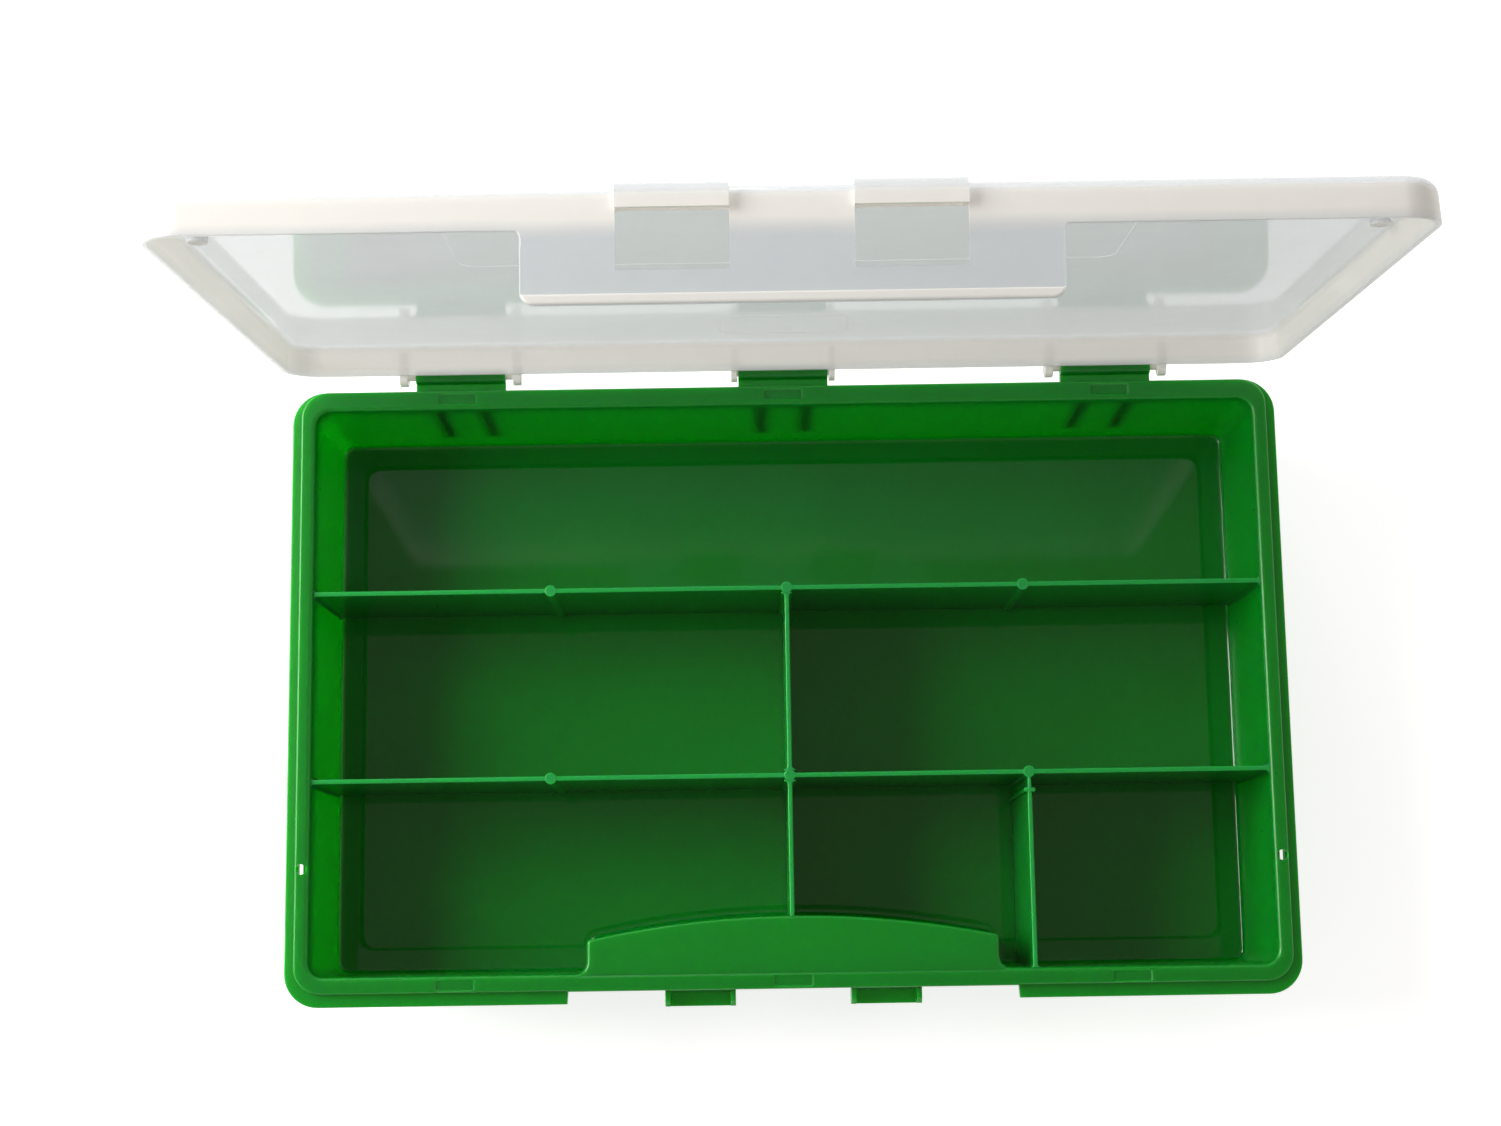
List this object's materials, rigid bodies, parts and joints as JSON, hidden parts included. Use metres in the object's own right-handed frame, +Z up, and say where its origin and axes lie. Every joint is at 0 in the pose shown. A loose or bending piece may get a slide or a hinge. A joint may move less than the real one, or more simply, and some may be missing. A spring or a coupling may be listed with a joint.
{
  "type": "tackle box",
  "caption": "Flat rectangular tackle box: green divided tray with a stepped rim and front finger recess, and a translucent hinged lid with a sprung snap tongue.",
  "frame": {"origin": "middle of the tray's flat underside", "axes": "+X along the box's length to the right, +Y to the hinge side, +Z up"},
  "size_m": [0.358, 0.2385, 0.2812],
  "materials": {
    "tray": "satin moulded polypropylene, green",
    "divider": "satin moulded polypropylene, green",
    "lid": "glossy milky translucent polypropylene",
    "tongue": "glossy milky translucent polypropylene"
  },
  "bodies": {
    "tray": {"tray": "tray", "long_divider_rear": "divider", "long_divider_front": "divider", "cross_divider_middle": "divider", "cross_divider_front_centre": "divider", "cross_divider_front_right": "divider"},
    "lid": {"lid": "lid"},
    "tongue": {"latch_tongue": "tongue"}
  },
  "joints": [
    {"name": "lid_hinge", "type": "hinge", "parent": "tray", "child": "lid", "pos_m": [0, 0.115, 0.0531], "axis": [-1, 0, 0], "range_deg": [-86, 94]},
    {"name": "tongue_flex", "type": "hinge", "parent": "lid", "child": "tongue", "pos_m": [0, 0.09949, 0.27777], "axis": [-1, 0, 0], "range_deg": [0, 14], "stiffness_Nm_per_rad": 0.5}
  ]
}
